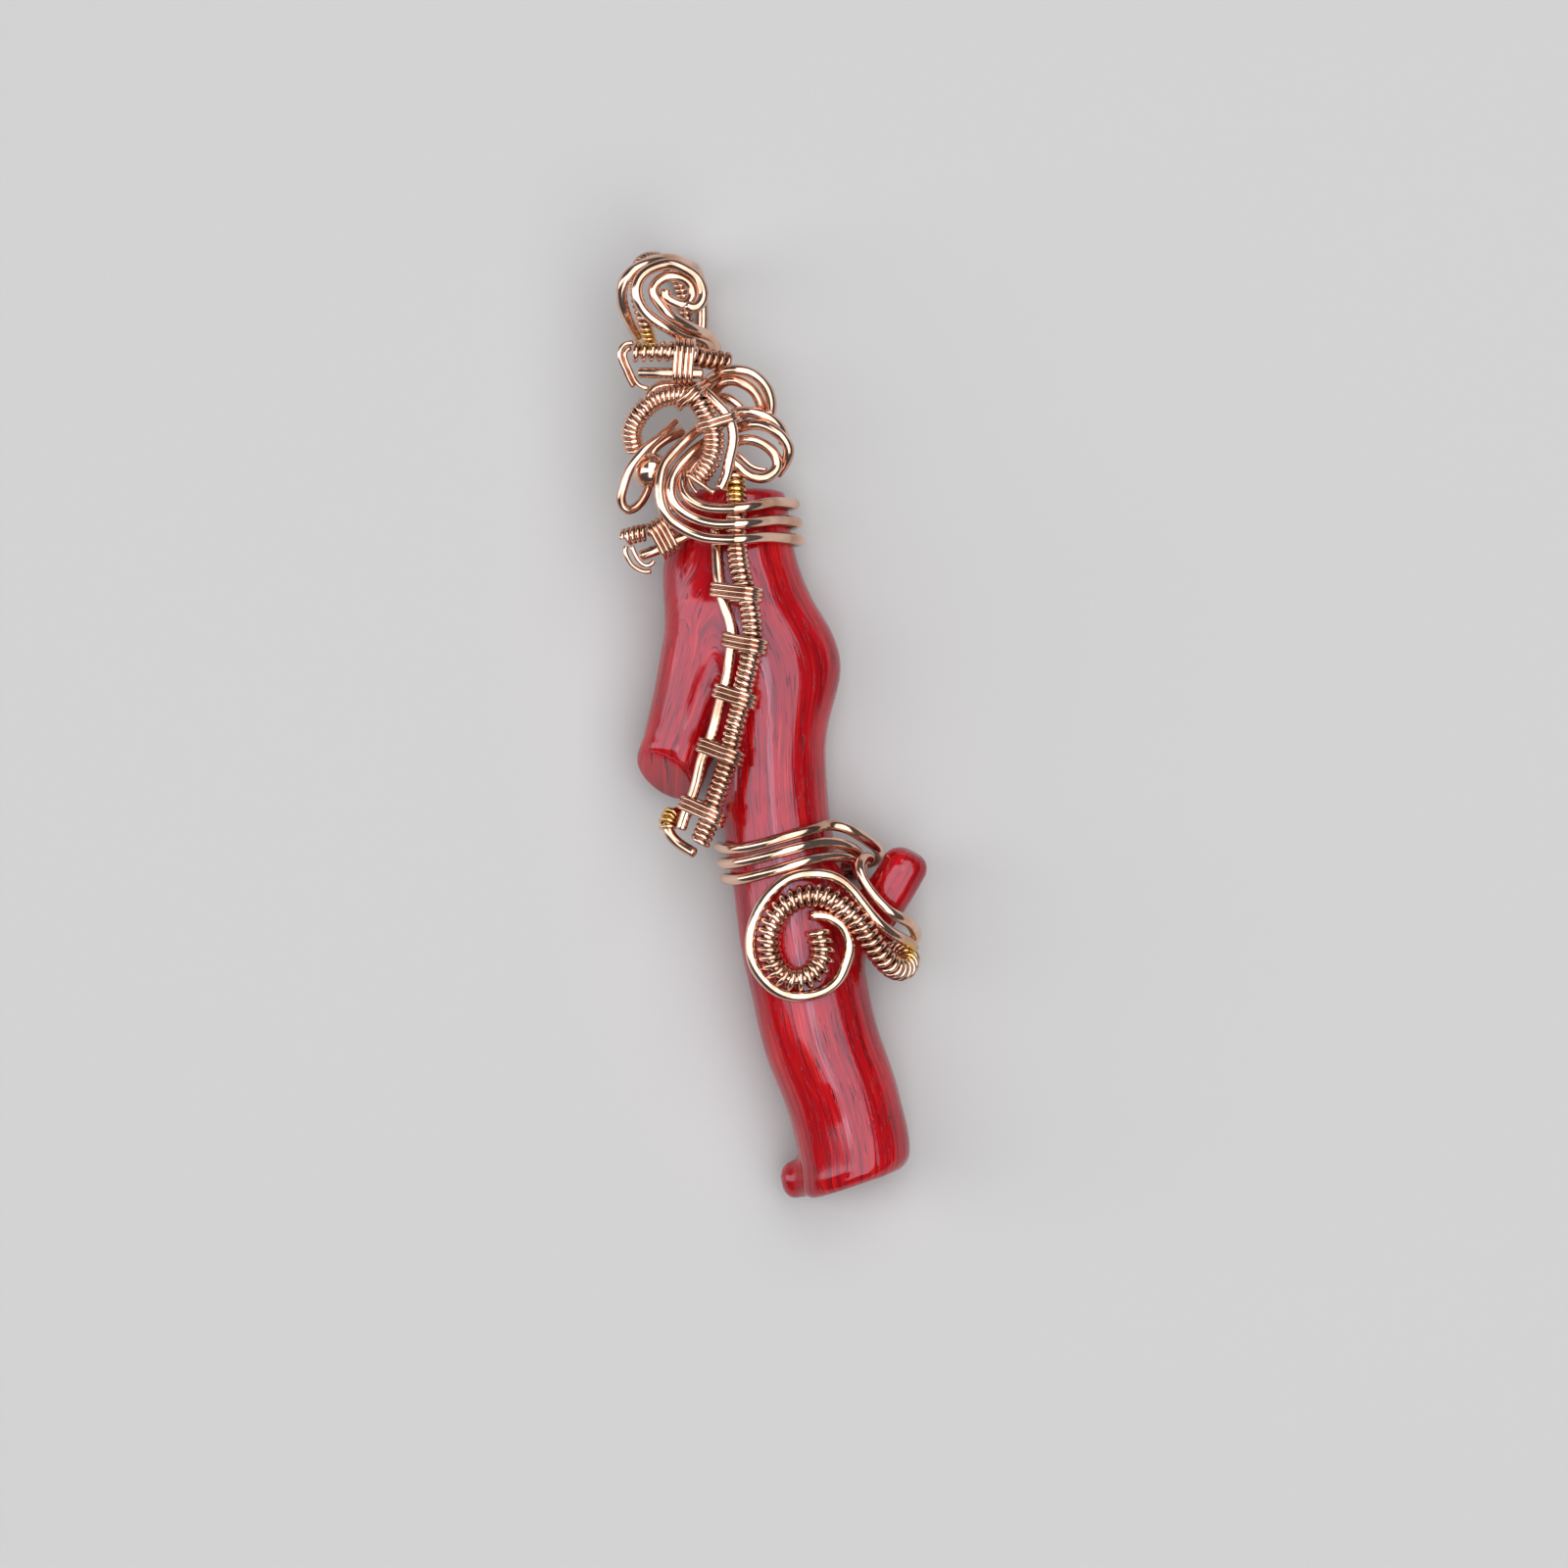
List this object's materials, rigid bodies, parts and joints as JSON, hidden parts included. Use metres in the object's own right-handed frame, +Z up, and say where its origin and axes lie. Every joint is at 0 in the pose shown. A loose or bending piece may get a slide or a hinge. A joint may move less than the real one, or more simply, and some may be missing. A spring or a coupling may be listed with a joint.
{
  "type": "red coral branch",
  "caption": "Polished red coral branch worn as a pendant, wrapped in rose copper wire with close coils, an open swirl, a small bead and a looped bail; it lies on its back.",
  "frame": {"origin": "bottom centre of the whole pendant's bounding box, on the surface it lies on", "axes": "+Y along the branch towards the bail, +X to the wearer's left as seen from the front, +Z up out of the face"},
  "size_m": [0.0254, 0.0768, 0.0125],
  "materials": {
    "coral": "high polish, dyed deep red, fine lengthwise striations",
    "copper": "bright rose copper"
  },
  "bodies": {
    "root": {"arc_binding_lower": "copper", "arc_binding_upper": "copper", "arc_coil": "copper", "arc_tail": "copper", "arc_wire": "copper", "bail_coil": "copper", "bail_side_wire": "copper", "bail_swirl_inner": "copper", "bail_swirl_outer": "copper", "bead_wire": "copper", "copper_bead": "copper", "coral_crown": "coral", "coral_foot_nub": "coral", "coral_left_arm": "coral", "coral_main_stem": "coral", "coral_side_stub": "coral", "petal_fine_wire": "copper", "petal_one_back": "copper", "petal_one_inner": "copper", "petal_one_outer": "copper", "petal_teardrop": "copper", "petal_two_inner": "copper", "petal_two_outer": "copper", "side_bar_coil": "copper", "side_bar_loop_inner": "copper", "side_bar_loop_outer": "copper", "side_bar_wire_lower": "copper", "side_bar_wire_upper": "copper", "side_bar_wrap": "copper", "strand_binding_1": "copper", "strand_binding_2": "copper", "strand_binding_3": "copper", "strand_binding_4": "copper", "strand_binding_5": "copper", "strand_coil": "copper", "strand_end": "copper", "strand_wire": "copper", "stub_wire": "copper", "sweep_fine_wire": "copper", "sweep_wire_inner": "copper", "sweep_wire_middle": "copper", "sweep_wire_outer": "copper", "swirl_coil": "copper", "swirl_wire": "copper", "top_bar_binding_left": "copper", "top_bar_binding_right": "copper", "top_bar_coil": "copper", "top_bar_loop_inner": "copper", "top_bar_loop_outer": "copper", "top_bar_wire": "copper", "waist_wire": "copper"}
  },
  "joints": []
}
